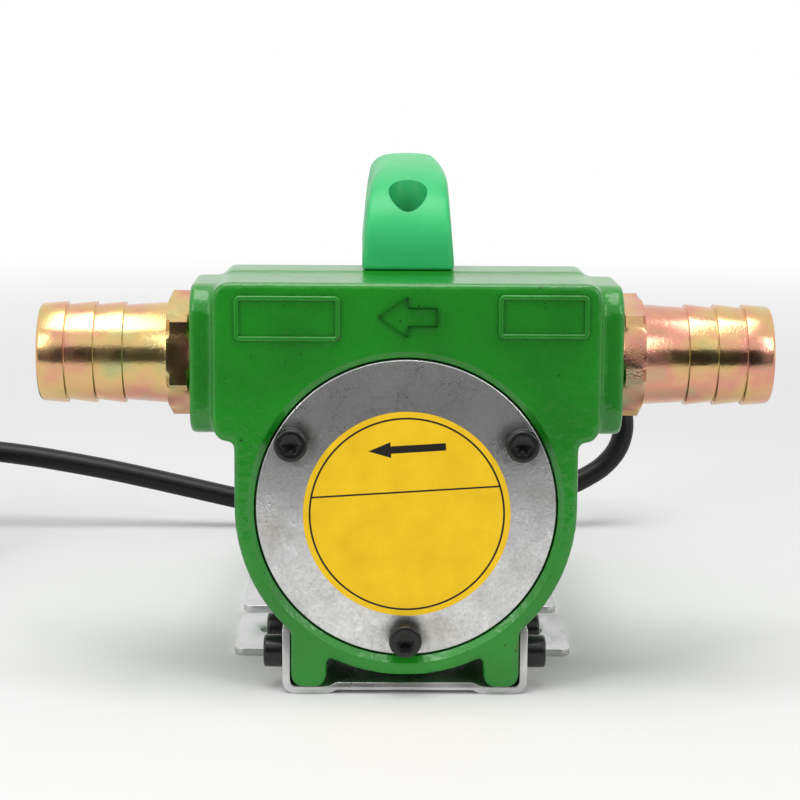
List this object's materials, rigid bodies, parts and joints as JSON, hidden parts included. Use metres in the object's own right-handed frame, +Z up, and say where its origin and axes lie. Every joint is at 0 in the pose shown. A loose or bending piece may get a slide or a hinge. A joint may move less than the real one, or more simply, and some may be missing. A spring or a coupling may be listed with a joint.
{
  "type": "fuel transfer pump",
  "caption": "Electric fuel transfer pump with a hose barb on each side, round front cover, carry handle, eared base plate and mains cord.",
  "frame": {"origin": "centre of the pump's own footprint, on the floor under the base plate, the cord left out", "axes": "+X from the outlet barb to the inlet barb, +Y from the pump cover to the motor's rear, +Z up"},
  "size_m": [0.3429, 0.2188, 0.134],
  "materials": {
    "enamel_green": "glossy enamel over rough casting",
    "handle_green": "semi-gloss moulded plastic",
    "cover_zinc": "smooth zinc-plated",
    "label_yellow": "printed film",
    "black_steel": "black oxide",
    "barb_zinc": "yellow zinc plating",
    "sheet_zinc": "zinc-plated sheet",
    "rubber_black": "matte",
    "rotor_iron": "machined",
    "vane_carbon": "matte",
    "magnet_ferrite": "matte",
    "bright_steel": "ground",
    "core_steel": "laminated",
    "copper": "enamelled copper",
    "phenolic": "matte",
    "brass": "plain",
    "brush_carbon": "matte",
    "plastic_black": "moulded",
    "rocker_red": "moulded",
    "cord_black": "matte sheath"
  },
  "bodies": {
    "pump": {"pump_casing": "enamel_green", "front_cover": "cover_zinc", "cover_seal": "rubber_black", "cover_label": "label_yellow", "cover_screws": "black_steel", "outlet_barb": "barb_zinc", "inlet_barb": "barb_zinc", "base_plate": "sheet_zinc", "foot_screws": "black_steel", "handle": "handle_green", "handle_screws": "black_steel", "shaft_seal": "rubber_black", "motor_flange": "enamel_green", "flange_screws": "black_steel", "motor_barrel": "enamel_green", "magnets": "magnet_ferrite", "tie_bolts": "black_steel", "front_bearing": "bright_steel", "rear_bearing": "bright_steel", "brush_plate": "phenolic", "brush_boxes": "brass", "brush_spring_top": "bright_steel", "brush_spring_bottom": "bright_steel", "rear_cover": "enamel_green", "rectifier": "plastic_black", "switch_body": "plastic_black", "cord_gland": "plastic_black", "cord": "cord_black", "cord_coil": "cord_black", "coil_tie": "plastic_black", "plug_body": "cord_black", "plug_blades": "brass"},
    "rotor": {"pump_rotor": "rotor_iron", "rotor_key": "bright_steel", "motor_shaft": "bright_steel", "armature_core": "core_steel", "armature_windings": "copper", "commutator": "copper"},
    "vane_1": {"vane_1": "vane_carbon"},
    "vane_2": {"vane_2": "vane_carbon"},
    "vane_3": {"vane_3": "vane_carbon"},
    "vane_4": {"vane_4": "vane_carbon"},
    "brush_top": {"brush_top": "brush_carbon"},
    "brush_bottom": {"brush_bottom": "brush_carbon"},
    "rocker": {"switch_rocker": "rocker_red"}
  },
  "joints": [
    {"name": "shaft_spin", "type": "hinge", "parent": "pump", "child": "rotor", "pos_m": [0, 0, 0.0518], "axis": [0, 1, 0], "continuous": true},
    {"name": "vane_1_slide", "type": "slide", "parent": "rotor", "child": "vane_1", "axis": [0.7071, 0, 0.7071], "range_m": [0, 0.0007]},
    {"name": "vane_2_slide", "type": "slide", "parent": "rotor", "child": "vane_2", "axis": [0.7071, 0, -0.7071], "range_m": [0, 0.0007]},
    {"name": "vane_3_slide", "type": "slide", "parent": "rotor", "child": "vane_3", "axis": [-0.7071, 0, -0.7071], "range_m": [0, 0.0007]},
    {"name": "vane_4_slide", "type": "slide", "parent": "rotor", "child": "vane_4", "axis": [-0.7071, 0, 0.7071], "range_m": [0, 0.0007]},
    {"name": "brush_top_slide", "type": "slide", "parent": "pump", "child": "brush_top", "axis": [0, 0, 1], "range_m": [0, 0.003], "stiffness_N_per_m": 200, "springref_m": -0.012, "deforming": ["brush_spring_top"]},
    {"name": "brush_bottom_slide", "type": "slide", "parent": "pump", "child": "brush_bottom", "axis": [0, 0, -1], "range_m": [0, 0.003], "stiffness_N_per_m": 200, "springref_m": -0.012, "deforming": ["brush_spring_bottom"]},
    {"name": "rocker_tilt", "type": "hinge", "parent": "pump", "child": "rocker", "pos_m": [0, 0.0766, 0.0268], "axis": [0, 0, 1], "range_deg": [0, 16]}
  ]
}
